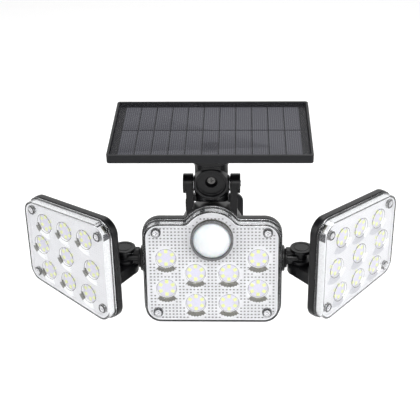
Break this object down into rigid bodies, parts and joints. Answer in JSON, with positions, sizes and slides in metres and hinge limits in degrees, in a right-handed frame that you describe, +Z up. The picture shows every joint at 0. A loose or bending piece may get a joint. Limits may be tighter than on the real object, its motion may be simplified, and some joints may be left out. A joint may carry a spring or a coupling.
{
  "type": "motion sensor security light",
  "caption": "Wall-mounted outdoor security light with a tilting solar panel, a motion sensor in the main head and swivelling LED side heads on turning arms.",
  "frame": {"origin": "middle of the four wall screw holes, on the wall plate's back face", "axes": "+Z up, +Y into the wall, +X to the right seen from the front"},
  "size_m": [0.4084, 0.1359, 0.2205],
  "materials": {
    "black_plastic": "satin black moulding",
    "bracket_black": "grained black moulding",
    "clear_cover": "clear moulding",
    "reflector_white": "glossy white",
    "led_board": "olive grey circuit board",
    "led_yellow": "pale yellow phosphor",
    "gasket_black": "matte",
    "screw_steel": "bright zinc",
    "bolt_steel": "zinc",
    "sensor_ring": "dark grey",
    "sensor_dome": "milky white",
    "sensor_can": "satin",
    "board_green": "green solder mask",
    "parts_black": "matte black",
    "battery_wrap": "blue wrapper",
    "button_grey": "satin grey",
    "panel_frame": "fine grained dark grey",
    "panel_cells": "dark grey silicon with light fingers",
    "panel_backing": "dark",
    "panel_glass": "clear front sheet"
  },
  "bodies": {
    "wall_bracket": {"wall_bracket": "bracket_black"},
    "main_head": {"main_housing": "black_plastic", "main_gasket": "gasket_black", "main_cover": "clear_cover", "main_reflector": "reflector_white", "main_led_board": "led_board", "main_leds": "led_yellow", "main_cover_screws": "screw_steel", "sensor_ring": "sensor_ring", "sensor_dome": "sensor_dome", "sensor_element": "sensor_can", "control_board": "board_green", "control_parts": "parts_black", "battery_cell": "battery_wrap", "battery_cradle": "parts_black", "button_switch": "parts_black", "tilt_bolt": "bolt_steel", "tilt_nut": "bolt_steel", "wall_pivot_bolt": "bolt_steel", "wall_pivot_nut": "bolt_steel"},
    "mode_button": {"mode_button": "button_grey"},
    "panel_knuckle": {"knuckle_block": "black_plastic", "tilt_washers": "bolt_steel"},
    "panel": {"panel_neck": "black_plastic", "roll_screw": "screw_steel", "roll_nut": "bolt_steel", "neck_screws": "bolt_steel", "panel_frame": "panel_frame", "panel_backing": "panel_backing", "panel_cells": "panel_cells", "panel_glass": "panel_glass"},
    "left_arm": {"left_arm": "black_plastic", "left_arm_screw": "bolt_steel"},
    "left_head": {"left_hinge_pin": "black_plastic", "left_housing": "black_plastic", "left_gasket": "gasket_black", "left_cover": "clear_cover", "left_reflector": "reflector_white", "left_led_board": "led_board", "left_leds": "led_yellow", "left_cover_screws": "screw_steel"},
    "right_arm": {"right_arm": "black_plastic", "right_arm_screw": "bolt_steel"},
    "right_head": {"right_hinge_pin": "black_plastic", "right_housing": "black_plastic", "right_gasket": "gasket_black", "right_cover": "clear_cover", "right_reflector": "reflector_white", "right_led_board": "led_board", "right_leds": "led_yellow", "right_cover_screws": "screw_steel"}
  },
  "joints": [
    {"name": "wall_tilt", "type": "hinge", "parent": "wall_bracket", "child": "main_head", "pos_m": [0, -0.064, 0], "axis": [1, 0, 0], "range_deg": [-10, 45]},
    {"name": "panel_tilt", "type": "hinge", "parent": "main_head", "child": "panel_knuckle", "pos_m": [0, -0.07896, 0.09679], "axis": [1, 0, 0], "range_deg": [-20, 30]},
    {"name": "panel_roll", "type": "hinge", "parent": "panel_knuckle", "child": "panel", "pos_m": [0, -0.08005, 0.10714], "axis": [0, 0.9945, 0.1045], "range_deg": [-18, 18]},
    {"name": "left_arm_turn", "type": "hinge", "parent": "main_head", "child": "left_arm", "pos_m": [0, -0.08577, 0.01003], "axis": [1, 0, 0], "range_deg": [-30, 30]},
    {"name": "right_arm_turn", "type": "hinge", "parent": "main_head", "child": "right_arm", "pos_m": [0, -0.08577, 0.01003], "axis": [1, 0, 0], "range_deg": [-30, 30]},
    {"name": "left_head_pan", "type": "hinge", "parent": "left_arm", "child": "left_head", "pos_m": [-0.0953, -0.08577, 0.01003], "axis": [0, 0, -1], "range_deg": [-30, 20]},
    {"name": "right_head_pan", "type": "hinge", "parent": "right_arm", "child": "right_head", "pos_m": [0.0953, -0.08577, 0.01003], "axis": [0, 0, 1], "range_deg": [-38.5, 11.5]},
    {"name": "mode_button_press", "type": "slide", "parent": "main_head", "child": "mode_button", "axis": [0, -0.9945, 0.1045], "range_m": [0, 0.001], "stiffness_N_per_m": 400, "springref_m": -0.001}
  ]
}
